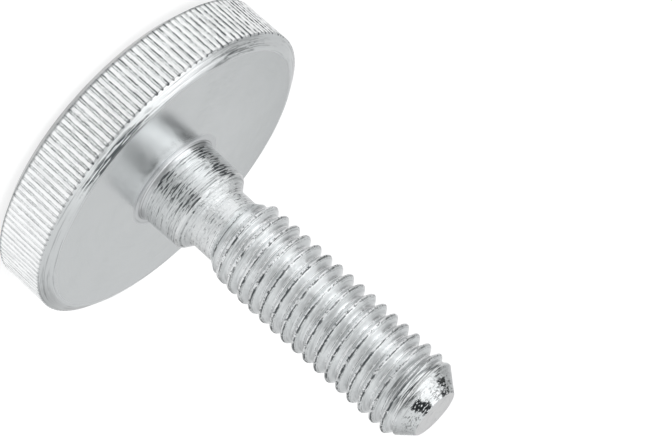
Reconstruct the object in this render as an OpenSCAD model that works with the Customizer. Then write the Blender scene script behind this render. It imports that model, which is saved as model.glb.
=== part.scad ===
// Knurled head screw, M8 by 30, turned from one piece of zinc-plated steel.
// A thin wide head with a fine straight knurl is tightened by hand. Under it come a short
// collar, a relieved neck and the threaded shank with its bevelled tip.
//
// Units are millimetres. The origin is the centre of the head's flat outer face, and +Z runs
// along the axis towards the tip. The screw stands on its head, with the tip up.
// The shank is a plain cylinder of the thread's outer diameter. Its helical turns are left out.

/* [Head] */
// Diameter of the head over the knurl
head_d = 30; // [16:0.5:60]
// Thickness of the head, from the outer face to the underside
head_h = 6; // [3.5:0.25:14]
// Height of the bevel between the rim and the underside
under_bevel_h = 0.7; // [0.2:0.05:1.5]
// Width of that bevel, measured in from the rim
under_bevel_w = 1.1; // [0.3:0.05:2.5]
// Radius that eases that bevel into the underside
under_ease_r = 0.9; // [0.2:0.05:2]
// Height of the bevel between the rim and the outer face
face_bevel_h = 0.8; // [0.2:0.05:1.5]
// Width of that bevel, measured in from the rim
face_bevel_w = 1.3; // [0.3:0.05:2.5]
// Diameter of the shallow turning mark at the centre of the outer face
centre_mark_d = 1.4; // [0.5:0.1:4]
// Depth of the turning mark
centre_mark_depth = 0.12; // [0.05:0.01:0.4]

/* [Knurl] */
// Number of straight teeth around the rim
knurl_teeth = 150; // [40:2:240]
// Depth of the grooves between the teeth
knurl_depth = 0.25; // [0.1:0.01:0.5]
// Share of the tooth pitch that stays as a land on the tooth tip
knurl_land = 0.3; // [0.1:0.05:0.6]

/* [Collar] */
// Diameter of the collar where it leaves the head
collar_base_d = 8.2; // [5:0.1:16]
// Diameter of the collar at its free end, a little less than at the head
collar_end_d = 8; // [5:0.1:16]
// Length of the collar, from the underside to its free end
collar_h = 4.2; // [2:0.1:12]
// Radius of the fillet between the head and the collar
base_fillet_r = 0.5; // [0.1:0.05:1.5]
// Radius that eases the collar's free edge
collar_edge_r = 0.3; // [0.05:0.05:0.5]

/* [Neck] */
// Diameter of the relieved neck between the collar and the thread
neck_d = 6; // [3:0.1:10]
// Length of the neck between its two slopes
neck_len = 1.8; // [0.5:0.1:6]
// Angle of the slope from the collar down to the neck, measured from the axis
shoulder_angle = 50; // [30:1:75]
// Radius of the fillet between that slope and the neck
neck_fillet_r = 0.6; // [0.1:0.05:1.2]
// Length of the slope from the neck up to the thread
lead_len = 1.5; // [0.3:0.1:3]

/* [Shank] */
// Outer diameter of the thread
thread_d = 7.9; // [4:0.05:16]
// Length under the head, from the underside to the tip
shank_len = 30; // [14:0.5:80]
// Length of the bevel at the tip
tip_len = 2; // [0.5:0.1:4]
// Diameter of the flat end at the tip
tip_d = 4.6; // [2:0.1:10]

/* [Hidden] */
// Facets on the round faces
$fn = 144;
// Facets on the small circles that ease the edges
arc_fn = 48;
// Colour of bright zinc plate
zinc = [0.78, 0.80, 0.81];

head_r = head_d / 2;
// Half of one tooth's angle at the axis
half_pitch = 180 / knurl_teeth;
groove_r = head_r - knurl_depth;
// Where the face of a tooth leaves the bottom of its groove, and where it meets the land
groove_point = [groove_r * cos(half_pitch), groove_r * sin(half_pitch)];
land_point = [head_r * cos(half_pitch * knurl_land), head_r * sin(half_pitch * knurl_land)];
// Distance from the axis at which the two faces of a tooth would meet in a point
tooth_apex_r = groove_point.x + (land_point.x - groove_point.x)
    * groove_point.y / (groove_point.y - land_point.y);

under_bevel_angle = atan(under_bevel_h / under_bevel_w);
// Distance from the bevel's edge to the ends of the radius that eases it
under_ease_len = under_ease_r * tan(under_bevel_angle / 2);
under_flat_r = head_r - under_bevel_w - under_ease_len;

collar_base_r = collar_base_d / 2;
collar_end_r = collar_end_d / 2;
neck_r = neck_d / 2;
thread_r = thread_d / 2;

collar_end_z = head_h + collar_h;
shoulder_h = (collar_end_r - neck_r) / tan(shoulder_angle);
neck_start_z = collar_end_z + shoulder_h;
neck_end_z = neck_start_z + neck_len;
thread_start_z = neck_end_z + lead_len;
tip_z = head_h + shank_len;
thread_end_z = tip_z - tip_len;

// Distances from the shoulder's two corners to the ends of the radii that ease them
collar_edge_len = collar_edge_r * tan(shoulder_angle / 2);
neck_fillet_len = neck_fillet_r * tan(shoulder_angle / 2);

// Radius of the sphere that leaves the turning mark
mark_sphere_r = (pow(centre_mark_d / 2, 2) + pow(centre_mark_depth, 2)) / (2 * centre_mark_depth);

// Half section of the head without its knurl, with the radius across and the height up.
module head_section() {
    polygon([
        [0, 0],
        [head_r - face_bevel_w, 0],
        [head_r, face_bevel_h],
        [head_r, head_h - under_bevel_h],
        [head_r - under_bevel_w + under_ease_len * cos(under_bevel_angle),
            head_h - under_ease_len * sin(under_bevel_angle)],
        [under_flat_r, head_h],
        [0, head_h]
    ]);
    translate([under_flat_r, head_h - under_ease_r]) circle(under_ease_r, $fn = arc_fn);
}

// Outline of the rim: pointed teeth that the turned section later cuts down to their lands.
module tooth_outline() {
    polygon([
        for (i = [0 : knurl_teeth - 1])
            for (end = [[0, tooth_apex_r], [half_pitch, groove_r]])
                let (angle = 2 * half_pitch * i + end[0])
                    [end[1] * cos(angle), end[1] * sin(angle)]
    ]);
}

// Knurled head, with the turning mark in its outer face.
module head() {
    difference() {
        intersection() {
            linear_extrude(head_h) tooth_outline();
            rotate_extrude() head_section();
        }
        translate([0, 0, centre_mark_depth - mark_sphere_r]) sphere(mark_sphere_r);
    }
}

// Half section of everything under the head, from inside the head to the tip.
module shank_section() {
    polygon([
        [0, head_h - under_bevel_h],
        [collar_base_r, head_h - under_bevel_h],
        [collar_base_r, head_h + base_fillet_r],
        [collar_end_r, collar_end_z - collar_edge_len],
        [collar_end_r - collar_edge_len * sin(shoulder_angle),
            collar_end_z + collar_edge_len * cos(shoulder_angle)],
        [neck_r, neck_start_z],
        [neck_r, neck_end_z],
        [thread_r, thread_start_z],
        [thread_r, thread_end_z],
        [tip_d / 2, tip_z],
        [0, tip_z]
    ]);
    translate([collar_end_r - collar_edge_r, collar_end_z - collar_edge_len])
        circle(collar_edge_r, $fn = arc_fn);
    base_fillet();
    neck_fillet();
}

// Concave corner between the head's underside and the collar.
module base_fillet() {
    translate([collar_base_r, head_h])
        difference() {
            square(base_fillet_r);
            translate([base_fillet_r, base_fillet_r]) circle(base_fillet_r, $fn = arc_fn);
        }
}

// Concave corner between the shoulder's slope and the neck.
module neck_fillet() {
    translate([neck_r, neck_start_z])
        difference() {
            polygon([
                [0, 0],
                [neck_fillet_len * sin(shoulder_angle), -neck_fillet_len * cos(shoulder_angle)],
                [neck_fillet_r, neck_fillet_len],
                [0, neck_fillet_len]
            ]);
            translate([neck_fillet_r, neck_fillet_len]) circle(neck_fillet_r, $fn = arc_fn);
        }
}

// Collar, neck and shank, turned in one with the head.
module shank() {
    rotate_extrude() shank_section();
}

module knurled_screw() {
    color(zinc) {
        head();
        shank();
    }
}

knurled_screw();
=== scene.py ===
import functools
import math
import random

import bpy
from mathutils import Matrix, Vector


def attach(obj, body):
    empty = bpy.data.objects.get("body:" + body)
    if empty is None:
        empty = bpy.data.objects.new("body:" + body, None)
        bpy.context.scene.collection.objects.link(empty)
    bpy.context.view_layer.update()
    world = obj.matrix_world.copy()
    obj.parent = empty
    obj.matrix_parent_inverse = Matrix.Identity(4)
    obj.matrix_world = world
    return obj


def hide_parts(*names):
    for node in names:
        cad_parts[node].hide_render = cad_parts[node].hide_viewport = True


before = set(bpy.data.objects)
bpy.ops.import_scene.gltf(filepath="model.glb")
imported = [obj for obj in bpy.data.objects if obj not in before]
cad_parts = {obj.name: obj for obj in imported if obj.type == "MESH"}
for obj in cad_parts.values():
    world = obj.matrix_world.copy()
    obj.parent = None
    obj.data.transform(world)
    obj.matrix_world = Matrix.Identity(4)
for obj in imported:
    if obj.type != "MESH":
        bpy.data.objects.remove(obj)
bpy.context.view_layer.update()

# The screw is measured in millimetres, and its mesh is made in metres. The studio is in metres.
MM = 0.001
TURN = 2 * math.pi

# Head: radius over the knurl, thickness, and the bevels at its two edges
HEAD_R = 15.0
HEAD_H = 6.0
UNDER_BEVEL_H = 0.7
UNDER_BEVEL_W = 1.1
UNDER_EASE_R = 0.9
FACE_BEVEL_H = 0.8
FACE_BEVEL_W = 1.3
FACE_EASE_R = 0.12

# Centre mark of the outer face, and the faint rings round it: radius and height of each of their circles
MARK_R = 0.7
MARK_DEPTH = 0.12
MARK_RINGS = ((0.85, 0.0), (0.95, 0.025), (1.05, 0.0), (1.3, 0.0), (1.4, 0.018), (1.5, 0.0))

# Knurl: straight teeth
TEETH = 150
KNURL_DEPTH = 0.25
PITCH_ANGLE = TURN / TEETH
# How much the teeth differ: least depth as a share of the full one, shares of the pitch by which a tooth
# is shifted and by which it waves along its length, and its waves in a millimetre
LEAST_DEPTH = 0.88
TOOTH_SHIFT = 0.05
TOOTH_WAVE = 0.028
TOOTH_WAVE_RATE = 0.9

# Collar, shoulder and neck
COLLAR_BASE_R = 4.1
COLLAR_END_R = 4.0
COLLAR_END_Z = 10.2
BASE_FILLET_R = 0.5
FILLET_RIDGE = 0.006
COLLAR_EDGE_R = 0.3
NECK_R = 3.0
SHOULDER_ANGLE = math.radians(50)
NECK_FILLET_R = 0.6
NECK_END_Z = 12.84

# Thread: metric coarse, right hand
THREAD_R = 3.95
ROOT_R = 3.26
PITCH = 1.25
LEAD_LEN = 1.5
CREST_Z = 15.60
CREST_AZIMUTH = math.radians(-149.0)
# The first turns are lower on one side: where, by how much, and over what length this fades
LOW_SIDE_AZIMUTH = math.radians(30.0)
LOW_SIDE_DROP = 0.28
LOW_SIDE_REACH = 2.5
# Side on which the fold along the crest is open
FOLD_AZIMUTH = math.radians(-25.0)

# Tip: a bevel that ends in a flat
TIP_Z = 36.0
TIP_LEN = 2.0
TIP_R = 2.3
TIP_EASE_R = 0.12
# Radius at which the bevel's cone has cut the thread away, and the height of that place
PLAIN_CONE_R = ROOT_R - 0.05
THREAD_END_Z = TIP_Z - TIP_LEN * (PLAIN_CONE_R - TIP_R) / (THREAD_R - TIP_R)
# The last groove is shallow on the side away from this azimuth: how far it is filled, from what height,
# over what length this grows, and how far the filling stays below the crest and the cone
TIP_GROOVE_AZIMUTH = math.radians(20.0)
TIP_FILL = 0.85
TIP_FILL_Z = 33.2
TIP_FILL_REACH = 0.8
FILL_BELOW_CREST = 0.12
FILL_BELOW_CONE = 0.04

# Points round the collar, the neck, the thread and the tip
ROUND_STEPS = 144

RNG = random.Random(7)


# ---------------------------------------------------------------- noise helper
def value_noise_1d(seed):
    """A smooth random curve through one random value at each whole number."""
    table = [random.Random(seed * 7919 + i).uniform(-1, 1) for i in range(512)]

    def curve(x):
        i = math.floor(x)
        t = x - i
        t = t * t * (3 - 2 * t)
        n = len(table)
        return table[i % n] * (1 - t) + table[(i + 1) % n] * t
    return curve


# ---------------------------------------------------------------- mesh building
class Skin:
    """A closed surface grown ring by ring, from the centre of the outer face to the centre of the tip."""

    def __init__(self):
        self.verts = []
        self.faces = []
        self.zones = []
        self.ring = None

    def point(self, r, angle, z):
        self.verts.append((r * math.cos(angle), r * math.sin(angle), z))
        return len(self.verts) - 1

    def face(self, ids, zone):
        """Adds a face without its repeated corners, or nothing when fewer than three are left."""
        loop = []
        for i in ids:
            if not loop or loop[-1] != i:
                loop.append(i)
        if len(loop) > 1 and loop[0] == loop[-1]:
            loop.pop()
        if len(loop) >= 3 and len(set(loop)) == len(loop):
            self.faces.append(tuple(loop))
            self.zones.append(zone)

    def start(self, z):
        self.ring = [(0.0, self.point(0, 0, z))]

    def finish(self, z, zone):
        tip = self.point(0, 0, z)
        ids = [i for _, i in self.ring]
        for k in range(len(ids)):
            self.face((ids[k], ids[(k + 1) % len(ids)], tip), zone)

    def add(self, ring, zone):
        """Joins a new ring, a list of (angle, vertex) in rising angle over one turn, to the last one."""
        old, new = self.ring, ring
        if len(old) == 1:
            for k in range(len(new)):
                self.face((old[0][1], new[(k + 1) % len(new)][1], new[k][1]), zone)
        elif len(old) == len(new):
            n = len(new)
            for k in range(n):
                m = (k + 1) % n
                self.face((old[k][1], old[m][1], new[m][1], new[k][1]), zone)
        else:
            self.zip(old, new, zone)
        self.ring = new

    def zip(self, old, new, zone):
        """Fills the band between two rings that differ in their number of points."""
        i = j = 0
        a = [x[0] - old[0][0] for x in old] + [TURN]
        b = [x[0] - old[0][0] for x in new] + [TURN + new[0][0] - old[0][0]]
        while i < len(old) or j < len(new):
            step_old = j >= len(new) or (i < len(old) and a[i + 1] <= b[j + 1])
            p, q = old[i % len(old)][1], new[j % len(new)][1]
            if step_old:
                self.face((p, old[(i + 1) % len(old)][1], q), zone)
                i += 1
            else:
                self.face((p, new[(j + 1) % len(new)][1], q), zone)
                j += 1

    def circle(self, n, r, z, zone):
        """A plain ring of n points."""
        step = TURN / n
        self.add([(k * step, self.point(r, k * step, z)) for k in range(n)], zone)


def arc(centre, radius, start, end, steps):
    """Points (r, z) on an arc of the section, with angles in radians from the r axis."""
    return [(centre[0] + radius * math.cos(start + (end - start) * k / steps),
             centre[1] + radius * math.sin(start + (end - start) * k / steps)) for k in range(steps + 1)]


# Zones of the surface, each with its own finish
OUTER_FACE, BEVEL, KNURL, UNDERSIDE, COLLAR, NECK, THREAD, TIP_CONE, TIP_END, FILLET, FACE_BEVEL = range(11)


def bevel_edge_z(r, upper):
    """Height at which a knurl of radius r runs out on the bevel at the rim's upper or lower edge."""
    if upper:
        return HEAD_H - UNDER_BEVEL_H + (HEAD_R - r) * UNDER_BEVEL_H / UNDER_BEVEL_W
    return FACE_BEVEL_H - (HEAD_R - r) * FACE_BEVEL_H / FACE_BEVEL_W


def add_outer_face(skin):
    """The flat face that the screw stands on, with its shallow centre mark and faint rings round it."""
    skin.start(MARK_DEPTH)
    for share in (0.2, 0.45, 0.7, 0.88, 1.0):
        skin.circle(48, MARK_R * share, MARK_DEPTH * (1 - share ** 2), OUTER_FACE)
    for r, z in MARK_RINGS:
        skin.circle(72, r, z, OUTER_FACE)
    # Rings of a flat, by their number of points and their radius
    for n, r in ((96, 3.0), (144, 5.5), (192, 8.5), (300, 11.5)):
        skin.circle(n, r, 0.0, OUTER_FACE)
    turn = math.atan2(FACE_BEVEL_H, FACE_BEVEL_W)
    ease = FACE_EASE_R * math.tan(turn / 2)
    flat_r = HEAD_R - FACE_BEVEL_W - ease
    skin.circle(450, flat_r, 0.0, OUTER_FACE)
    for r, z in arc((flat_r, FACE_EASE_R), FACE_EASE_R, -math.pi / 2, -math.pi / 2 + turn, 3)[1:]:
        skin.circle(600, r, z, FACE_BEVEL)


# Columns of one tooth, as shares: place across the pitch, depth below the tip, and how far the column
# follows its own tooth's shift and depth, where it otherwise follows the tooth before
TOOTH_COLUMNS = ((-0.50, 0.50, 0.5), (-0.43, 0.48, 0.6), (-0.36, 0.38, 1.0), (-0.29, 0.06, 1.0),
                 (-0.20, 0.0, 1.0), (0.20, 0.0, 1.0), (0.29, 0.06, 1.0), (0.36, 0.38, 1.0),
                 (0.43, 0.48, 1.0))
KNURL_ROWS = 11


def add_knurl(skin):
    """The rim: every tooth a little different in depth, place and line, as a rolled knurl is."""
    depth_of = [KNURL_DEPTH * RNG.uniform(LEAST_DEPTH, 1.0) for _ in range(TEETH)]
    shift_of = [RNG.uniform(-TOOTH_SHIFT, TOOTH_SHIFT) for _ in range(TEETH)]
    wave_of = [value_noise_1d(100 + i) for i in range(TEETH)]
    recess = {}
    columns = []
    for i in range(TEETH):
        for place, depth, own in TOOTH_COLUMNS:
            before = 1.0 - own
            shift = own * shift_of[i] + before * shift_of[i - 1]
            drop = depth * (own * depth_of[i] + before * depth_of[i - 1])
            columns.append((i, place + shift, drop, own, before))
    rows = []
    for k in range(KNURL_ROWS):
        t = k / (KNURL_ROWS - 1)
        ring = []
        for i, place, drop, own, before in columns:
            r = HEAD_R - drop
            foot, top = bevel_edge_z(r, False), bevel_edge_z(r, True)
            z = foot + (top - foot) * t
            at = z * TOOTH_WAVE_RATE
            wave = own * wave_of[i](at) + before * wave_of[i - 1](at)
            angle = (i + place + TOOTH_WAVE * wave) * PITCH_ANGLE
            v = skin.point(r, angle, z)
            # How deep the point lies in its groove; the finish darkens this as painted shade
            recess[v] = max(0.0, drop / KNURL_DEPTH - 0.5) * 2
            ring.append((angle, v))
        rows.append(ring)
    skin.add(rows[0], FACE_BEVEL)
    for ring in rows[1:]:
        skin.add(ring, KNURL)
    return recess


def add_underside(skin):
    """The bevel that the teeth run out on, the flat underside and the fillet at the collar's foot."""
    turn = math.atan2(UNDER_BEVEL_H, UNDER_BEVEL_W)
    ease = UNDER_EASE_R * math.tan(turn / 2)
    flat_r = HEAD_R - UNDER_BEVEL_W - ease
    fillet = (COLLAR_BASE_R + BASE_FILLET_R, HEAD_H + BASE_FILLET_R)
    # Rings of the bevel, by their number of points and how far they lie inside the rim
    for n, drop in ((900, KNURL_DEPTH + 0.03), (720, 0.5)):
        skin.circle(n, HEAD_R - drop, bevel_edge_z(HEAD_R - drop, True), BEVEL)
    for r, z in arc((flat_r, HEAD_H - UNDER_EASE_R), UNDER_EASE_R, math.pi / 2 - turn, math.pi / 2, 7):
        skin.circle(480, r, z, BEVEL)
    for n, r in ((300, 12.5), (240, 9.5), (192, 6.5), (ROUND_STEPS, fillet[0] + 0.25)):
        skin.circle(n, r, HEAD_H, UNDERSIDE)
    for k, (r, z) in enumerate(arc(fillet, BASE_FILLET_R, -math.pi / 2, -math.pi, 10)):
        lift = FILLET_RIDGE if k in (4, 8) else 0.0
        skin.circle(ROUND_STEPS, r + lift, z + lift, FILLET)


def add_collar_and_neck(skin):
    """The tapering collar, its eased edge, the sloping shoulder and the relieved neck."""
    shoulder_h = (COLLAR_END_R - NECK_R) / math.tan(SHOULDER_ANGLE)
    edge = COLLAR_EDGE_R * math.tan(SHOULDER_ANGLE / 2)
    foot, top = HEAD_H + BASE_FILLET_R, COLLAR_END_Z - edge
    for k in range(1, 13):
        t = k / 12
        r = COLLAR_BASE_R + (COLLAR_END_R - COLLAR_BASE_R) * t
        skin.circle(ROUND_STEPS, r, foot + (top - foot) * t, COLLAR)
    for r, z in arc((COLLAR_END_R - COLLAR_EDGE_R, top), COLLAR_EDGE_R, 0, SHOULDER_ANGLE, 5)[1:]:
        skin.circle(ROUND_STEPS, r, z, COLLAR)
    neck_z = COLLAR_END_Z + shoulder_h + NECK_FILLET_R * math.tan(SHOULDER_ANGLE / 2)
    centre = (NECK_R + NECK_FILLET_R, neck_z)
    for r, z in arc(centre, NECK_FILLET_R, math.pi + SHOULDER_ANGLE, math.pi, 7):
        skin.circle(ROUND_STEPS, r, z, NECK)
    for k in range(1, 5):
        skin.circle(ROUND_STEPS, NECK_R, neck_z + (NECK_END_Z - neck_z) * k / 4.5, NECK)


# Rows across one pitch: distance from the crest, positive towards the tip
ROWS = (-0.625, -0.57, -0.52, -0.47, -0.42, -0.32, -0.22, -0.15, -0.11, -0.08, -0.04,
        0.0, 0.04, 0.075, 0.105, 0.135, 0.18, 0.27, 0.37, 0.45, 0.51, 0.57)
# Half the crest's width, and the slopes of the two flanks
CREST_HALF = 0.078
HEAD_FLANK_SLOPE = math.tan(math.radians(60))
TIP_FLANK_SLOPE = math.tan(math.radians(56))
# Distances and weights by which the thread's corners are eased
EASE_REACH = (-0.09, -0.06, -0.03, 0.0, 0.03, 0.06, 0.09)
EASE_WEIGHTS = (0.06, 0.12, 0.20, 0.24, 0.20, 0.12, 0.06)
# Fold along the crest: distance from the crest, half width, depth, how far it strays, and how far open
# it is where it is nearly shut
FOLD_D = 0.105
FOLD_HALF = 0.035
FOLD_DEPTH = 0.05
FOLD_STRAY = 0.015
LEAST_FOLD = 0.15
# How far the thread's radius wavers
THREAD_WAVER = 0.008
# Changes in a millimetre along the thread: of how open the fold is, of its place and of the radius
OPENING_RATE = 0.9
STRAY_RATE = 0.5
WAVER_RATE = 1.7
# How far the noise along the thread runs on from one turn to the next
TURN_LENGTH = 25.0
# Dings in the thread: their number, and the ranges of their heights, sizes and depths
DINGS = 26
DING_HEIGHTS = (14.5, 33.5)
DING_SIZES = (0.12, 0.30)
DING_DEPTHS = (0.03, 0.09)
# A row closer than this to an end of the thread is joined to that end
JOIN_GAP = 0.02


def raw_thread_r(d):
    """Radius of the thread at distance d from its crest, with sharp corners."""
    d = (d + PITCH / 2) % PITCH - PITCH / 2
    slope = TIP_FLANK_SLOPE if d > 0 else HEAD_FLANK_SLOPE
    return min(THREAD_R, max(ROOT_R, THREAD_R - (abs(d) - CREST_HALF) * slope))


def thread_r(d):
    """Radius of the thread at distance d from its crest, with its corners eased."""
    return sum(raw_thread_r(d + reach) * weight for reach, weight in zip(EASE_REACH, EASE_WEIGHTS))


def lead_r(z, angle):
    """Radius that the first turns may reach while they grow out of the neck, less full on one side."""
    grown = NECK_R + (THREAD_R - NECK_R) * min(1.0, (z - NECK_END_Z) / LEAD_LEN)
    side = 0.5 + 0.5 * math.cos(angle - LOW_SIDE_AZIMUTH)
    low = LOW_SIDE_DROP * side * math.exp(-max(0.0, z - NECK_END_Z - LEAD_LEN) / LOW_SIDE_REACH)
    return max(NECK_R, grown - low)


def fold_share(angle):
    """How far open the fold along the crest is: wide at its own azimuth, nearly shut opposite."""
    return LEAST_FOLD + (1 - LEAST_FOLD) * (0.5 + 0.5 * math.cos(angle - FOLD_AZIMUTH)) ** 1.5


def tip_r(z):
    """Radius of the cone that bevels the tip."""
    return TIP_R + (THREAD_R - TIP_R) * (TIP_Z - z) / TIP_LEN


def tip_fill(z, angle):
    """Share of the last groove's depth that is filled."""
    side = 0.5 - 0.5 * math.cos(angle - TIP_GROOVE_AZIMUTH)
    return TIP_FILL * side * min(1.0, max(0.0, (z - TIP_FILL_Z) / TIP_FILL_REACH))


def make_dings():
    """Azimuth, height, size and depth of each ding."""
    return [(RNG.uniform(0, TURN), RNG.uniform(*DING_HEIGHTS), RNG.uniform(*DING_SIZES),
             RNG.uniform(*DING_DEPTHS)) for _ in range(DINGS)]


def ding_depth(dings, z, angle):
    """How deep the dings cut at a point of the thread."""
    total = 0.0
    for ding_angle, ding_z, size, depth in dings:
        off = (angle - ding_angle + math.pi) % TURN - math.pi
        apart = (off * THREAD_R) ** 2 + (z - ding_z) ** 2
        if apart < (3 * size) ** 2:
            total += depth * math.exp(-apart / size ** 2)
    return total


def add_thread(skin):
    """The helix: its rows follow the crest, so they rise by one pitch in each turn."""
    rows, steps = len(ROWS), ROUND_STEPS
    step = TURN / steps
    crest_noise = value_noise_1d(31)
    fold_noise = value_noise_1d(57)
    dings = make_dings()
    row_r = [thread_r(d) for d in ROWS]
    recess, on_cone, made = {}, set(), {}

    def height(i, j):
        # Height of row j at step i; step `steps` of a row is step 0 of the row one pitch higher.
        turn, row = divmod(j, rows)
        angle = i * step
        return CREST_Z + ROWS[row] + PITCH * (turn + (angle - CREST_AZIMUTH) / TURN)

    first = [(i * step, skin.point(NECK_R, i * step, NECK_END_Z)) for i in range(steps)]
    skin.add(first, NECK)
    last = [(i * step, skin.point(tip_r(THREAD_END_Z), i * step, THREAD_END_Z)) for i in range(steps)]
    on_cone.update(v for _, v in last)

    def shape(i, j, z):
        """Radius at a point of the thread, and how far the fold is open there."""
        d = ROWS[j % rows]
        angle = i * step
        length = (j // rows) * TURN_LENGTH + angle * THREAD_R
        # The fold comes and goes along the thread.
        fold = min(1.0, max(0.0, 0.55 + 1.3 * fold_noise(length * OPENING_RATE))) * fold_share(angle)
        off = d - FOLD_D - FOLD_STRAY * crest_noise(length * STRAY_RATE)
        fold *= math.exp(-(off / FOLD_HALF) ** 2)
        r = row_r[j % rows] - FOLD_DEPTH * fold + THREAD_WAVER * crest_noise(length * WAVER_RATE + 9)
        r -= ding_depth(dings, z, angle)
        below_cone = tip_r(z) - FILL_BELOW_CONE
        if r < below_cone:
            r += tip_fill(z, angle) * (min(THREAD_R - FILL_BELOW_CREST, below_cone) - r)
        return max(min(r, lead_r(z, angle), tip_r(z)), NECK_R), fold

    def vertex(i, j):
        if i == steps:
            i, j = 0, j + rows
        if (i, j) in made:
            return made[(i, j)]
        z = height(i, j)
        if z < NECK_END_Z + JOIN_GAP:
            v = first[i][1]
        elif z > THREAD_END_Z - JOIN_GAP:
            v = last[i][1]
        else:
            r, fold = shape(i, j, z)
            v = skin.point(r, i * step, z)
            if r == tip_r(z):
                on_cone.add(v)
            # How far the fold is open; the finish darkens this as painted shade in the fold
            recess[v] = fold
        made[(i, j)] = v
        return v

    lowest = -rows * (int((CREST_Z - NECK_END_Z) / PITCH) + 3)
    highest = rows * (int((THREAD_END_Z - CREST_Z) / PITCH) + 3)
    for i in range(steps):
        for j in range(lowest, highest):
            if height(i, j + 1) < NECK_END_Z or height(i, j) > THREAD_END_Z + PITCH:
                continue
            a, b = vertex(i, j), vertex(i + 1, j)
            c, d = vertex(i + 1, j + 1), vertex(i, j + 1)
            skin.face((a, b, c, d), TIP_CONE if len({a, b, c, d} & on_cone) > 2 else THREAD)
    skin.ring = last
    return recess


def add_tip(skin):
    """The rest of the cone, its eased edge and the flat end."""
    turn = math.atan2(THREAD_R - TIP_R, TIP_LEN)
    ease = TIP_EASE_R * math.tan((math.pi / 2 - turn) / 2)
    centre = (TIP_R - ease, TIP_Z - TIP_EASE_R)
    edge_z = centre[1] + TIP_EASE_R * math.sin(turn)
    for k in range(1, 6):
        z = THREAD_END_Z + (edge_z - THREAD_END_Z) * k / 6
        skin.circle(ROUND_STEPS, tip_r(z), z, TIP_CONE)
    for r, z in arc(centre, TIP_EASE_R, turn, math.pi / 2, 4):
        skin.circle(ROUND_STEPS, r, z, TIP_CONE)
    for n, r in ((96, 1.6), (72, 1.0), (48, 0.45)):
        skin.circle(n, r, TIP_Z, TIP_END)
    skin.finish(TIP_Z, TIP_END)


# ---------------------------------------------------------------- shader nodes
# Share of a line's half width within which it is at its full strength
LINE_CORE = 0.35


def node(tree, kind, inputs=None, **settings):
    """A new node. An input that is another node's socket is linked, and any other is set as its value."""
    n = tree.nodes.new(kind)
    for key, value in settings.items():
        setattr(n, key, value)
    for key, value in (inputs or {}).items():
        if isinstance(value, bpy.types.NodeSocket):
            tree.links.new(value, n.inputs[key])
        else:
            n.inputs[key].default_value = value
    return n


def math_node(tree, operation, a, b=0.0, c=0.0):
    return node(tree, "ShaderNodeMath", {0: a, 1: b, 2: c}, operation=operation).outputs[0]


def chain(tree, operation, values):
    """One operation over all the values, two at a time from the first."""
    return functools.reduce(lambda a, b: math_node(tree, operation, a, b), values)


def add(tree, *values):
    return chain(tree, "ADD", values)


def mul(tree, *values):
    return chain(tree, "MULTIPLY", values)


def largest(tree, *values):
    return chain(tree, "MAXIMUM", values)


def mul_add(tree, value, factor, offset):
    return math_node(tree, "MULTIPLY_ADD", value, factor, offset)


def ramp(tree, value, low, high, at_low=0.0, at_high=1.0):
    """A straight ramp from at_low at value low to at_high at value high, held beyond both."""
    return node(tree, "ShaderNodeMapRange", {0: value, 1: low, 2: high, 3: at_low, 4: at_high}).outputs[0]


def centred_fraction(tree, value):
    """The part of value past its nearest whole number, from -0.5 to 0.5."""
    return math_node(tree, "SUBTRACT", value, math_node(tree, "ROUND", value))


def position_mm(tree):
    """The point's place in millimetres, whole and as its three parts."""
    place = node(tree, "ShaderNodeTexCoord").outputs["Object"]
    scaled = node(tree, "ShaderNodeVectorMath", {0: place, "Scale": 1 / MM}, operation="SCALE").outputs[0]
    x, y, z = node(tree, "ShaderNodeSeparateXYZ", {0: scaled}).outputs
    return scaled, x, y, z


def radius_of(tree, x, y):
    """The point's distance from the screw's axis."""
    return math_node(tree, "SQRT", add(tree, mul(tree, x, x), mul(tree, y, y)))


def level_direction(tree, x, y):
    """The direction from the axis to the point, of length 1."""
    flat = node(tree, "ShaderNodeCombineXYZ", {0: x, 1: y, 2: 0.0}).outputs[0]
    return node(tree, "ShaderNodeVectorMath", {0: flat}, operation="NORMALIZE").outputs[0]


def cosine_from(tree, flat, azimuth):
    """Cosine of the angle round the axis between a level direction and an azimuth."""
    return node(tree, "ShaderNodeVectorMath", {0: flat, 1: (math.cos(azimuth), math.sin(azimuth), 0.0)},
                operation="DOT_PRODUCT").outputs["Value"]


def facing(tree, x, y, azimuth, low, high, at_low=0.0, at_high=1.0):
    """A ramp over the cosine of the angle round the axis between the point and an azimuth."""
    return ramp(tree, cosine_from(tree, level_direction(tree, x, y), azimuth), low, high, at_low, at_high)


def noise(tree, place, scale, detail=2.0, roughness=0.6):
    return node(tree, "ShaderNodeTexNoise", {"Vector": place, "Scale": scale, "Detail": detail,
                                             "Roughness": roughness}).outputs["Fac"]


def stray(tree, place, scale, width, detail=2.0):
    """Noise that wanders over a width with 0 at its middle."""
    return mul_add(tree, noise(tree, place, scale, detail), width, -width / 2)


def patches(tree, place, scale, detail, low, high, at_low=0.0, at_high=1.0):
    """Irregular patches: noise, cut by a ramp between two of its values."""
    return ramp(tree, noise(tree, place, scale, detail), low, high, at_low, at_high)


def streaks(tree, along, x, y, fineness, length, detail=3.0):
    """Noise drawn out along the circle of turning: fine along one size, long round the axis."""
    spot = node(tree, "ShaderNodeCombineXYZ", {0: mul(tree, x, 1 / length), 1: mul(tree, y, 1 / length),
                                               2: mul(tree, along, fineness)}).outputs[0]
    return noise(tree, spot, 1.0, detail)


def line_at(tree, value, middle, half):
    """1 on a line where value is middle, falling to 0 at half on each side."""
    off = math_node(tree, "ABSOLUTE", math_node(tree, "SUBTRACT", value, middle))
    return ramp(tree, off, half * LINE_CORE, half, 1.0, 0.0)


def lines_at(tree, value, lines, broken=1.0):
    """The strongest of several lines, each given by its middle, half width and strength, times broken."""
    return largest(tree, 0.0, *[mul(tree, line_at(tree, value, middle, half), broken, strength)
                                for middle, half, strength in lines])
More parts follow.
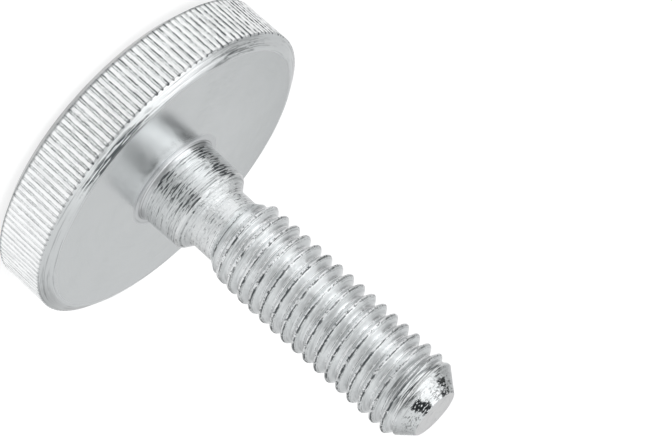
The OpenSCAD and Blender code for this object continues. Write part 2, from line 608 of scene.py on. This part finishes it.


# ---------------------------------------------------------------- marks on the steel, painted shade and painted highlights
# Step of the turning tool in one turn
FEED = 0.29

# Sides on which the tool tore the steel under the plate, and on which the torn marks are also painted
# darker as reflection of the studio's dark bands: azimuth and half width in degrees, and strength
TORN_AND_SHADE_SIDES = ((-113, 9, 1.0), (-52, 12, 0.85), (95, 13, 1.0), (150, 10, 1.0))
BEVEL_TORN_AND_SHADE_SIDES = ((-112, 8, 0.55), (-53, 11, 1.0), (95, 9, 0.7), (150, 8, 0.7))
TIP_TORN_AND_SHADE_SIDES = ((-110, 7, 0.9), (-55, 10, 1.0), (95, 10, 1.0), (150, 9, 1.0))
# Degrees past a torn side's half width at which it ends, and inside it from which it is full
TORN_AND_SHADE_OUTSIDE = 7
TORN_AND_SHADE_INSIDE = 3
# Height at which the torn patches of the tip's cone begin
TORN_AND_SHADE_TIP_Z = 34.88


def feed_rings(tree, place, line, depth):
    """Rings one step of the tool apart across line, rising and falling by depth, a little unsteady."""
    line = mul_add(tree, noise(tree, place, 0.8), 0.25, line)
    return mul(tree, math_node(tree, "COSINE", mul(tree, line, TURN / FEED)), depth)


def torn_and_shade_sides(tree, place, x, y, sides=TORN_AND_SHADE_SIDES):
    """The strength of the torn sides, with their tears and painted reflection of dark bands, with unsteady
    edges.
    """
    drift = stray(tree, place, 0.9, 0.10, 3.0)
    flat = level_direction(tree, x, y)
    mask = 0.0
    for azimuth, half, strength in sides:
        cosine = add(tree, cosine_from(tree, flat, math.radians(azimuth)), drift)
        end = math.cos(math.radians(half + TORN_AND_SHADE_OUTSIDE))
        full = math.cos(math.radians(half - TORN_AND_SHADE_INSIDE))
        mask = largest(tree, mask, ramp(tree, cosine, end, full, 0.0, strength))
    return mask


def helix_turns(tree, x, y, z):
    """Turns of thread passed at a point, whole on the crest."""
    turn = mul(tree, math_node(tree, "ARCTAN2", y, x), 1 / TURN)
    turns = math_node(tree, "SUBTRACT", mul_add(tree, z, 1 / PITCH, -CREST_Z / PITCH), turn)
    return add(tree, turns, CREST_AZIMUTH / TURN)


def helix_streaks(tree, x, y, z, fineness, length, detail=3.0):
    """Noise drawn out along the helix, without a seam: the place across a pitch becomes a circle."""
    phase = mul(tree, helix_turns(tree, x, y, z), TURN)
    reach = fineness * PITCH / TURN
    spot = node(tree, "ShaderNodeCombineXYZ", {0: mul(tree, math_node(tree, "COSINE", phase), reach),
                                               1: mul(tree, math_node(tree, "SINE", phase), reach),
                                               2: mul(tree, x, 1 / length)}).outputs[0]
    # The fourth coordinate drifts with height, so that no two turns are alike.
    drift = mul_add(tree, z, 0.37, mul(tree, y, 1 / length))
    return node(tree, "ShaderNodeTexNoise", {"Vector": spot, "W": drift, "Scale": 1.0, "Detail": detail,
                                             "Roughness": 0.6}, noise_dimensions="4D").outputs["Fac"]


# Each function named ..._lines gives two masks for its zone: where it is darkened, by marks and by painted
# shade, and where it is brightened, which is painted highlight. A line is given by its middle and half
# width, and in a table by its strength as well. A pair of heights or radii is where a mask begins to grow
# and where it is full.

# Lines along the thread, by distance from the crest
# The fold's line is painted shade in the fold, the crest's and the root's light lines are painted
# highlights, and the two flank lines beside the root are painted shade; the other flank lines are fine marks
FOLD_LINE = (FOLD_D, 0.06)
TORN_CREST = (0.03, 0.20)
SLASH = (0.11, 0.12)
CREST_HIGHLIGHT = (-0.03, 0.13)
FLANK_HIGHLIGHT = (-0.52, 0.05)
FLANK_LINES = ((-0.60, 0.035, 0.60), (-0.43, 0.035, 0.60), (-0.31, 0.03, 0.30), (-0.15, 0.03, 0.45),
               (0.22, 0.03, 0.30))
# Side on which the crest is slashed and, half a radian further round, the turns by the tip are worn
SLASH_SIDE = math.radians(-40.0)
WORN_SIDE = SLASH_SIDE - 0.5
# Heights of the worn turns and of the torn groove by the tip
WORN_HEIGHTS = (31.6, 33.2)
TORN_AND_SHADE_GROOVE_HEIGHTS = (33.70, 33.90)


def thread_lines(tree, place, x, y, z):
    """Painted shade in the fold, the torn and slashed crests, the worn and torn turns by the tip (the torn
    ones partly painted reflection), fine flank lines (two of them painted shade by the root), and painted
    highlights on the crest and root.
    """
    turns = centred_fraction(tree, helix_turns(tree, x, y, z))
    d = mul_add(tree, turns, PITCH, stray(tree, place, 1.6, 0.12, 3.0))
    dashes = patches(tree, place, 1.5, 3.0, 0.44, 0.52)
    broken = patches(tree, place, 3.2, 2.0, 0.42, 0.50)
    specks = patches(tree, place, 4.5, 2.0, 0.44, 0.38)
    gashes = patches(tree, place, 1.2, 3.0, 0.50, 0.44)
    hairs = ramp(tree, helix_streaks(tree, x, y, z, 8.0, 2.5, 1.0), 0.53, 0.46)

    fold_side = facing(tree, x, y, FOLD_AZIMUTH, -0.6, 0.9, 0.15, 0.9)
    slashed = facing(tree, x, y, SLASH_SIDE, 0.76, 0.94)
    worn = mul(tree, facing(tree, x, y, WORN_SIDE, 0.60, 0.90), ramp(tree, z, *WORN_HEIGHTS))
    torn = mul(tree, ramp(tree, z, *TORN_AND_SHADE_GROOVE_HEIGHTS), torn_and_shade_sides(tree, place, x, y, TIP_TORN_AND_SHADE_SIDES))
    dark = largest(tree,
                   mul(tree, line_at(tree, d, *FOLD_LINE), fold_side, dashes),
                   mul(tree, line_at(tree, d, *TORN_CREST), specks, 0.75),
                   mul(tree, line_at(tree, d, *SLASH), gashes, slashed, 0.90),
                   mul(tree, hairs, worn, 0.70),
                   mul(tree, hairs, torn, 0.95),
                   lines_at(tree, d, FLANK_LINES, broken))
    light = largest(tree,
                    mul(tree, line_at(tree, d, *CREST_HIGHLIGHT), mul_add(tree, broken, 0.5, 0.5)),
                    line_at(tree, d, *FLANK_HIGHLIGHT))
    return dark, light


# Lines along the teeth, by share of the pitch from the middle of a tooth: painted shade along the teeth's
# edges
DEEP_EDGE = (0.31, 0.085)
FINE_EDGE = (-0.31, 0.065)
# Side on which the teeth's painted shade is darkest
SHADED_TEETH_SIDE = math.radians(-105.0)
# Heights of the grooves' and the lands' painted dark ends, of the painted shade at the foot by the floor,
# and of the lands' painted highlight
GROOVE_END = (5.02, 5.22)
LAND_END = (5.18, 5.26)
SHADED_FOOT = (1.02, 0.88)
LAND_HIGHLIGHT = (0.90, 1.10)


def knurl_lines(tree, place, x, y, z):
    """The teeth in painted light and shade: painted highlights on the lands, painted shade greying the
    grooves between them, thin broken painted dark edges and dark ends.
    """
    jag = stray(tree, place, 6.5, 0.12)
    teeth = mul(tree, math_node(tree, "ARCTAN2", y, x), 1 / PITCH_ANGLE)
    t = add(tree, centred_fraction(tree, teeth), stray(tree, place, 2.2, 0.16), jag)
    off = math_node(tree, "ABSOLUTE", t)
    teeth_shade = facing(tree, x, y, SHADED_TEETH_SIDE, -0.1, 0.85, 0.30, 1.0)
    broken = mul(tree, patches(tree, place, 1.7, 2.0, 0.38, 0.54, 0.15, 1.0), teeth_shade)
    grain = patches(tree, place, 7.0, 2.0, 0.50, 0.40)
    # Painted shade greying the grooves, stronger on the shaded side
    groove = mul(tree, ramp(tree, off, 0.28, 0.33), grain, ramp(tree, teeth_shade, 0.3, 0.8, 0.5, 1.0), 0.32)
    groove_end = mul(tree, ramp(tree, z, *GROOVE_END), ramp(tree, off, 0.24, 0.34))
    land_end = ramp(tree, add(tree, z, jag), *LAND_END)
    dark = largest(tree,
                   mul(tree, line_at(tree, t, *DEEP_EDGE), broken),
                   mul(tree, line_at(tree, t, *FINE_EDGE), broken, 0.80),
                   groove,
                   mul(tree, groove_end, mul_add(tree, broken, 0.60, 0.30)),
                   mul(tree, land_end, broken, 0.70),
                   mul(tree, ramp(tree, z, *SHADED_FOOT), 0.60))
    light = mul(tree, ramp(tree, off, 0.22, 0.28, 1.0, 0.0), ramp(tree, z, *LAND_HIGHLIGHT))
    return dark, light


# Band of the streaks on the bevel, by radius
STREAK_BAND = (14.22, 0.55)


def bevel_lines(tree, place, x, y, z):
    """Long dark streaks near the inner edge of the bevel, on the torn sides, partly painted reflection of
    the studio's dark bands.
    """
    radius = radius_of(tree, x, y)
    rings = add(tree, streaks(tree, radius, x, y, 8.0, 2.0, 1.0), feed_rings(tree, place, radius, 0.07))
    dark = mul(tree, ramp(tree, rings, 0.56, 0.52), line_at(tree, radius, *STREAK_BAND),
               torn_and_shade_sides(tree, place, x, y, BEVEL_TORN_AND_SHADE_SIDES))
    return dark, 0.0


# Side on which the flat underside is painted a little darker as shade, by how much, and its radii
UNDERSIDE_SHADE_SIDE = math.radians(-168.0)
UNDERSIDE_SHADE_STRENGTH = 0.16
UNDERSIDE_SHADE_RADII = (7.0, 14.0)


def underside_lines(tree, place, x, y, z):
    """A patch of painted shade on the underside, towards the rim on one side."""
    outward = ramp(tree, radius_of(tree, x, y), *UNDERSIDE_SHADE_RADII)
    return mul(tree, outward, facing(tree, x, y, UNDERSIDE_SHADE_SIDE, 0.2, 0.95), UNDERSIDE_SHADE_STRENGTH), 0.0


# Rings by height: dark ones, and bright ones that are painted highlights
FILLET_RINGS = ((6.27, 0.05, 0.40), (6.12, 0.04, 0.30))
COLLAR_RINGS = ((6.78, 0.05, 0.40), (7.02, 0.05, 0.30), (9.28, 0.05, 0.45), (9.72, 0.06, 0.50),
                (9.98, 0.05, 0.35))
COLLAR_HIGHLIGHT_RINGS = ((10.16, 0.14, 1.0), (6.66, 0.10, 1.0))
NECK_RINGS = ((10.44, 0.08, 0.30),)


def fillet_lines(tree, place, x, y, z):
    """Two thin rings in the round at the foot of the collar."""
    return lines_at(tree, z, FILLET_RINGS), 0.0


def collar_lines(tree, place, x, y, z):
    """Thin rings at both ends of the collar, the dark ones broken here and there."""
    level = add(tree, z, stray(tree, place, 0.6, 0.08))
    broken = patches(tree, place, 1.4, 3.0, 0.40, 0.54, 0.15, 1.0)
    return lines_at(tree, level, COLLAR_RINGS, broken), lines_at(tree, level, COLLAR_HIGHLIGHT_RINGS)


def neck_lines(tree, place, x, y, z):
    """A thin ring under the collar's edge."""
    return lines_at(tree, z, NECK_RINGS), 0.0


def cone_lines(tree, place, x, y, z):
    """Fine dark rings on the torn sides of the cone, next to the thread, partly painted reflection of the
    studio's dark band.
    """
    rings = ramp(tree, streaks(tree, z, x, y, 9.0, 2.0, 1.0), 0.52, 0.46)
    below = ramp(tree, z, TORN_AND_SHADE_TIP_Z - 0.10, TORN_AND_SHADE_TIP_Z - 0.22)
    return mul(tree, rings, below, torn_and_shade_sides(tree, place, x, y, TIP_TORN_AND_SHADE_SIDES), 0.70), 0.0


# ---------------------------------------------------------------- finishes
# Reach of the short torn marks round the axis, and their number in a millimetre across the tool's path
DASH_LENGTH = 0.9
DASH_FINENESS = 10.0
# Values of the noise between which the long marks and the torn marks fade
MARK_CUT = (0.40, 0.46)
TORN_AND_SHADE_CUT = (0.320, 0.360)
# Shares of the torn marks' ink and height that are left away from the torn sides
INK_ELSEWHERE = 0.3
HEIGHT_ELSEWHERE = 0.25
# Faint torn patches elsewhere: scale, detail, the two values of their cut and the strengths at those
STRAY_TORN = (0.5, 2.0, 0.42, 0.60, 0.0, 0.35)
# Noise of the plate's cloudiness and of its grain: scale, detail and roughness
CLOUD = (0.35, 4.0, 0.65)
GRAIN = (5.5, 2.0, 0.7)
# How the cloud darkens the plate, as factor and offset, and how far it spreads the plate's roughness
CLOUD_INK = (-0.12, 0.066)
CLOUD_ROUGH = 0.06
# Colours of the plate and of its painted highlights
ZINC = (0.85, 0.865, 0.87)
PAINTED_HIGHLIGHT = (0.965, 0.975, 0.98, 1.0)


def tool_marks(tree, along, place, x, y, z, fineness, length, dash_length, feed):
    """Noise for the long marks of the tool and for the short torn ones."""
    if along == "turn":
        return (streaks(tree, z, x, y, 1 / length, 1 / fineness),
                streaks(tree, z, x, y, 3 / length, 1 / fineness))
    if along == "helix":
        return (helix_streaks(tree, x, y, z, fineness, length),
                helix_streaks(tree, x, y, z, DASH_FINENESS, dash_length, 2.0))
    line = z if along == "z" else radius_of(tree, x, y)
    short = streaks(tree, line, x, y, DASH_FINENESS, dash_length, 1.0)
    if feed:
        short = add(tree, short, feed_rings(tree, place, line, feed))
    return streaks(tree, line, x, y, fineness, length), short


def zinc_finish(name, along, fineness, length, groove, dash, grain, rough, ink, torn_and_shade_ink, lines=None,
                tone=ZINC, dash_length=DASH_LENGTH, cover=0.12, recess_shade=0.35, sides=TORN_AND_SHADE_SIDES,
                feed=0.0, torn_and_shade_from=None, ink_level=0.10):
    """Bright zinc plate over turned steel.

    along names what the tool marks cross: z, radius, helix or turn (the circle of turning). fineness is
    marks per millimetre and length their reach. groove, dash and grain are heights in millimetres of the
    long marks, of the short torn ones and of the plate's own grain. rough is the roughness. ink,
    torn_and_shade_ink and recess_shade darken the long marks, the torn ones and the recesses, and ink_level
    is the darkest grey; the torn ones are partly painted reflection of the studio's dark bands, and the
    recesses' darkening is painted shade. lines adds the zone's own masks. tone is the plate's colour, made
    lighter in some zones as painted highlight and darker in others as painted shade, and dash_length the
    reach of the torn marks.
    On the sides named, cover sets how much more of the surface they take than elsewhere, and they begin at
    the height torn_and_shade_from. feed is how clearly they lie in rings.
    """
    material = bpy.data.materials.new(name)
    material.use_nodes = True
    tree = material.node_tree
    tree.nodes.clear()
    place, x, y, z = position_mm(tree)
    marks, short = tool_marks(tree, along, place, x, y, z, fineness, length, dash_length, feed)
    cloud = noise(tree, place, *CLOUD)
    # Torn marks, which on the named sides are partly painted reflection of the studio's dark bands
    torn_and_shade_here = largest(tree, torn_and_shade_sides(tree, place, x, y, sides),
                        patches(tree, place, *STRAY_TORN))
    if torn_and_shade_from:
        torn_and_shade_here = mul(tree, torn_and_shade_here, ramp(tree, z, torn_and_shade_from - 0.12, torn_and_shade_from + 0.08))
    torn = ramp(tree, mul_add(tree, torn_and_shade_here, -cover, short), *TORN_AND_SHADE_CUT, 1.0, 0.0)
    torn = mul(tree, torn, mul_add(tree, torn_and_shade_here, 1 - INK_ELSEWHERE, INK_ELSEWHERE))

    short_here = mul(tree, short, mul_add(tree, torn_and_shade_here, 1 - HEIGHT_ELSEWHERE, HEIGHT_ELSEWHERE))
    height = mul_add(tree, short_here, dash, mul(tree, marks, groove))
    height = mul_add(tree, noise(tree, place, *GRAIN), grain, height)
    bump = node(tree, "ShaderNodeBump", {"Height": height, "Strength": 1.0, "Distance": MM})

    # The depth of the knurl's grooves and of the thread's fold, darkened below as painted shade
    recess = node(tree, "ShaderNodeAttribute", attribute_name="recess").outputs["Fac"]
    line_dark, line_highlight = lines(tree, place, x, y, z) if lines else (0.0, 0.0)
    # Darkening: random cloud, tool marks, torn marks partly painted as reflection, painted shade in the
    # recesses, and the zone's own masks
    dark = add(tree, mul_add(tree, cloud, *CLOUD_INK),
               mul(tree, ramp(tree, marks, *MARK_CUT, 1.0, 0.0), ink),
               mul(tree, torn, torn_and_shade_ink), mul(tree, recess, recess_shade), line_dark)
    dark = largest(tree, math_node(tree, "MINIMUM", dark, 1.0), 0.0)
    # The zone's light mask mixes in the painted highlight colour.
    # Sockets 0, 6 and 7 of a colour mix are its factor and its two colours.
    colour = node(tree, "ShaderNodeMix", {0: line_highlight, 6: (*tone, 1.0), 7: PAINTED_HIGHLIGHT},
                  data_type="RGBA").outputs[2]
    darkest = (ink_level, 1.10 * ink_level, 1.15 * ink_level, 1.0)
    colour = node(tree, "ShaderNodeMix", {0: dark, 6: colour, 7: darkest}, data_type="RGBA").outputs[2]
    metal = node(tree, "ShaderNodeBsdfPrincipled", {
        "Metallic": 1.0, "Roughness": mul_add(tree, cloud, CLOUD_ROUGH, rough - CLOUD_ROUGH / 2),
        "Base Color": colour, "Normal": bump.outputs[0]})
    out = node(tree, "ShaderNodeOutputMaterial")
    tree.links.new(metal.outputs[0], out.inputs["Surface"])
    return material


def make_finishes():
    """One finish for each zone, in the order of the zones.

    The eight numbers are fineness, length, groove, dash, grain, rough, ink and torn_and_shade_ink.
    """
    return [
        zinc_finish("zinc_outer_face", "radius", 7.0, 3.0, 0.020, 0.010, 0.006, 0.31, 0.15, 0.15),
        zinc_finish("zinc_bevel", "radius", 4.5, 8.0, 0.050, 0.020, 0.006, 0.30, 0.30, 0.30,
                    bevel_lines, dash_length=2.5),
        zinc_finish("zinc_knurl", "turn", 5.0, 2.0, 0.020, 0.030, 0.020, 0.32, 0.15, 0.20,
                    knurl_lines, recess_shade=0.08),
        zinc_finish("zinc_underside", "radius", 8.0, 4.0, 0.002, 0.002, 0.002, 0.22, 0.02, 0.04,
                    underside_lines),
        # On the collar the torn marks are partly painted reflection of the studio's dark bands
        zinc_finish("zinc_collar", "z", 9.0, 2.5, 0.070, 0.080, 0.020, 0.30, 0.27, 1.00,
                    collar_lines, cover=0.148, feed=0.075),
        # The neck's lighter tone is painted highlight.
        zinc_finish("zinc_neck", "z", 8.0, 2.0, 0.040, 0.080, 0.080, 0.30, 0.22, 0.80,
                    neck_lines, tone=(0.91, 0.925, 0.93), dash_length=0.7, cover=0.03, feed=0.05),
        # The thread's lighter tone is painted highlight.
        zinc_finish("zinc_thread", "helix", 6.5, 5.0, 0.110, 0.030, 0.020, 0.30, 0.20, 0.12,
                    thread_lines, tone=(0.97, 0.985, 0.99)),
        # On the cone the torn marks paint the reflection of a dark band, nearly black
        zinc_finish("zinc_tip_cone", "z", 5.0, 2.0, 0.015, 0.030, 0.060, 0.30, 0.15, 1.00,
                    cone_lines, dash_length=0.3, cover=0.27, sides=TIP_TORN_AND_SHADE_SIDES, torn_and_shade_from=TORN_AND_SHADE_TIP_Z,
                    ink_level=0.03),
        zinc_finish("zinc_tip_end", "radius", 7.0, 3.0, 0.012, 0.006, 0.020, 0.31, 0.08, 0.14,
                    tone=(0.93, 0.92, 0.92)),
        # The fillet's darker tone is painted shade.
        zinc_finish("zinc_fillet", "radius", 6.0, 8.0, 0.030, 0.004, 0.002, 0.30, 0.20, 0.05,
                    fillet_lines, tone=(0.78, 0.79, 0.80)),
        # The face bevel's dark tone is painted shade, where it reflects the floor's shadow.
        zinc_finish("zinc_face_bevel", "radius", 4.5, 6.0, 0.040, 0.030, 0.006, 0.30, 0.35, 0.85,
                    tone=(0.36, 0.37, 0.375), dash_length=1.4),
    ]


# Angle between two faces from which their edge is sharp
SHARP_ANGLE = math.radians(33)


def make_screw():
    """The whole screw as one closed mesh, which takes the place of its CAD node."""
    skin = Skin()
    add_outer_face(skin)
    recess = add_knurl(skin)
    add_underside(skin)
    add_collar_and_neck(skin)
    recess.update(add_thread(skin))
    add_tip(skin)

    mesh = bpy.data.meshes.new("knurled_screw_visual")
    mesh.from_pydata([(x * MM, y * MM, z * MM) for x, y, z in skin.verts], [], skin.faces)
    layer = mesh.attributes.new("recess", "FLOAT", "POINT")
    layer.data.foreach_set("value", [recess.get(i, 0.0) for i in range(len(skin.verts))])
    for material in make_finishes():
        mesh.materials.append(material)
    mesh.polygons.foreach_set("material_index", skin.zones)
    mesh.shade_smooth()
    mesh.set_sharp_from_angle(angle=SHARP_ANGLE)
    mesh.validate()
    screw = bpy.data.objects.new("knurled_screw_visual", mesh)
    bpy.context.collection.objects.link(screw)
    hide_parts("knurled_screw")
    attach(screw, "root")


# ---------------------------------------------------------------- studio
# The photograph's view: azimuth, place, angles in degrees and focal length
CAMERA_AZIMUTH = math.radians(-60.0)
CAMERA_PLACE = (0.115647, -0.200307, 0.089376)
CAMERA_ANGLES = (-65.3065, -45.6602, -166.5867)
CAMERA_LENS = 157.22

# Soft panels and gaps of the studio, painted one over another: middle and half width round from the
# camera, lowest and highest elevation, softness of the edges (all degrees), and brightness
ROOM_LEVEL = 0.68
PANELS = (
    (150, 48, 66, 95, 8, 1.25),
    (-84, 42, 46, 80, 8, 0.92),
    (-70, 32, 28, 48, 8, 0.60),
    (-56, 25, 0, 30, 8, 1.85),
    (-18, 16, 50, 72, 6, 1.60),
    (60, 32, 26, 54, 10, 0.86),
    (180, 42, 0, 28, 10, 0.63),
    (80, 30, 0, 26, 10, 0.75),
    (137, 22, 0, 19, 10, 0.36),
    (16, 30, 0, 26, 8, 0.22),
    (-110, 30, 5, 34, 6, 0.0),
    (-124, 20, 20, 47, 6, 0.55),
)
# Colour of the studio's light
ROOM_TINT = (0.985, 1.0, 1.005, 1.0)

# The same for the floor, where elevation is that of the spot seen from the height of the neck
FLOOR_LEVEL = 0.78
FLOOR_PANELS = (
    (-58, 26, -95, 5, 12, 0.98),
    (45, 42, -95, 5, 14, 1.00),
    (-115, 22, -95, 5, 12, 0.74),
    (-12, 12, -95, 5, 10, 0.68),
    (148, 16, -95, 5, 12, 0.50),
    (180, 14, -95, 5, 10, 1.00),
    (0, 190, -95, -21, 5, 1.08),
)
NECK_HEIGHT = 0.012

# Half width of the floor, its own grey, and the light that makes it white for the camera
FLOOR_HALF = 3.0
FLOOR_GREY = (0.42, 0.42, 0.42, 1.0)
FLOOR_GLOW = 0.76
WHITE = (1.0, 1.0, 1.0, 1.0)


def smooth_band(tree, value, low, high, soft):
    """1 between low and high, falling to 0 over soft degrees centred on each of them."""
    rise = node(tree, "ShaderNodeMapRange",
                {0: value, 1: low - soft / 2, 2: low + soft / 2, 3: 0.0, 4: 1.0},
                interpolation_type="SMOOTHSTEP").outputs[0]
    fall = node(tree, "ShaderNodeMapRange",
                {0: value, 1: high - soft / 2, 2: high + soft / 2, 3: 1.0, 4: 0.0},
                interpolation_type="SMOOTHSTEP").outputs[0]
    return mul(tree, rise, fall)


def studio_level(tree, way, level, panels):
    """Brightness of the studio in the direction way, seen from the screw."""
    unit = node(tree, "ShaderNodeVectorMath", {0: way}, operation="NORMALIZE").outputs[0]
    x, y, z = node(tree, "ShaderNodeSeparateXYZ", {0: unit}).outputs
    flat = level_direction(tree, x, y)
    elevation = mul(tree, math_node(tree, "ARCSINE", z), 180 / math.pi)
    for middle, half, low, high, soft, strength in panels:
        cosine = cosine_from(tree, flat, CAMERA_AZIMUTH + math.radians(middle))
        apart = mul(tree, math_node(tree, "ARCCOSINE", cosine), 180 / math.pi)
        mask = mul(tree, smooth_band(tree, apart, -half, half, soft),
                   smooth_band(tree, elevation, low, high, soft))
        # Sockets 0, 2 and 3 of a number mix are its factor and its two numbers.
        level = node(tree, "ShaderNodeMix", {0: mask, 2: level, 3: strength}, data_type="FLOAT").outputs[0]
    return level


def make_floor():
    """A white floor for the camera. To glossy rays it glows with painted copies of the studio's panels at a
    lower contrast, without the screw's shadow.
    """
    mesh = bpy.data.meshes.new("floor")
    mesh.from_pydata([(x * FLOOR_HALF, y * FLOOR_HALF, 0) for x, y in ((-1, -1), (1, -1), (1, 1), (-1, 1))],
                     [], [(0, 1, 2, 3)])
    material = bpy.data.materials.new("floor")
    material.use_nodes = True
    tree = material.node_tree
    tree.nodes.clear()
    path = node(tree, "ShaderNodeLightPath")
    clear = largest(tree, path.outputs["Is Glossy Ray"], path.outputs["Is Transmission Ray"])
    paper = node(tree, "ShaderNodeBsdfDiffuse", {"Color": FLOOR_GREY})
    seen = mul(tree, path.outputs["Is Camera Ray"], FLOOR_GLOW)
    glow = node(tree, "ShaderNodeEmission", {"Color": WHITE, "Strength": seen})
    both = node(tree, "ShaderNodeAddShader", {0: paper.outputs[0], 1: glow.outputs[0]})
    place = node(tree, "ShaderNodeNewGeometry").outputs["Position"]
    way = node(tree, "ShaderNodeVectorMath", {0: place, 1: (0.0, 0.0, NECK_HEIGHT)},
               operation="SUBTRACT").outputs[0]
    level = studio_level(tree, way, FLOOR_LEVEL, FLOOR_PANELS)
    painted_reflection = node(tree, "ShaderNodeEmission", {"Color": WHITE, "Strength": level})
    mix = node(tree, "ShaderNodeMixShader", {0: clear, 1: both.outputs[0], 2: painted_reflection.outputs[0]})
    out = node(tree, "ShaderNodeOutputMaterial")
    tree.links.new(mix.outputs[0], out.inputs["Surface"])
    mesh.materials.append(material)
    floor = bpy.data.objects.new("floor", mesh)
    bpy.context.collection.objects.link(floor)


def direction(azimuth, elevation):
    return Vector((math.cos(azimuth) * math.cos(elevation), math.sin(azimuth) * math.cos(elevation),
                   math.sin(elevation)))


def softbox(name, azimuth_off, elevation, distance, size, radiance):
    """A square soft lamp placed by its angle round from the camera, aimed at the middle of the screw."""
    lamp = bpy.data.lights.new(name, "AREA")
    lamp.shape = "SQUARE"
    lamp.size = size
    lamp.energy = radiance * math.pi * size ** 2
    box = bpy.data.objects.new(name, lamp)
    way = direction(CAMERA_AZIMUTH + math.radians(azimuth_off), math.radians(elevation))
    box.location = way * distance + Vector((0, 0, TIP_Z / 2 * MM))
    box.rotation_mode = "QUATERNION"
    box.rotation_quaternion = way.to_track_quat("Z", "Y")
    box.visible_camera = False
    bpy.context.collection.objects.link(box)


def make_world():
    """The studio's panels for everything but the camera, which sees plain white."""
    world = bpy.data.worlds.new("studio")
    bpy.context.scene.world = world
    world.use_nodes = True
    tree = world.node_tree
    tree.nodes.clear()
    path = node(tree, "ShaderNodeLightPath")
    way = node(tree, "ShaderNodeTexCoord").outputs["Generated"]
    room = node(tree, "ShaderNodeBackground", {"Color": ROOM_TINT,
                                               "Strength": studio_level(tree, way, ROOM_LEVEL, PANELS)})
    white = node(tree, "ShaderNodeBackground", {"Color": WHITE, "Strength": 1.0})
    mix = node(tree, "ShaderNodeMixShader", {0: path.outputs["Is Camera Ray"], 1: room.outputs[0],
                                             2: white.outputs[0]})
    out = node(tree, "ShaderNodeOutputWorld")
    tree.links.new(mix.outputs[0], out.inputs["Surface"])


def make_camera():
    """A long lens from the thread's side, rolled so that the tip points down and to the right."""
    camera = bpy.data.cameras.new("camera")
    camera.sensor_width = 36.0
    camera.lens = CAMERA_LENS
    camera.clip_start, camera.clip_end = 0.01, 10.0
    eye = bpy.data.objects.new("camera", camera)
    eye.location = CAMERA_PLACE
    eye.rotation_mode = "XYZ"
    eye.rotation_euler = tuple(math.radians(a) for a in CAMERA_ANGLES)
    bpy.context.collection.objects.link(eye)
    bpy.context.scene.camera = eye


make_screw()
make_floor()
make_world()
softbox("high_box", azimuth_off=-80, elevation=62, distance=0.45, size=0.30, radiance=0.70)
make_camera()
bpy.context.scene.view_settings.view_transform = "Standard"
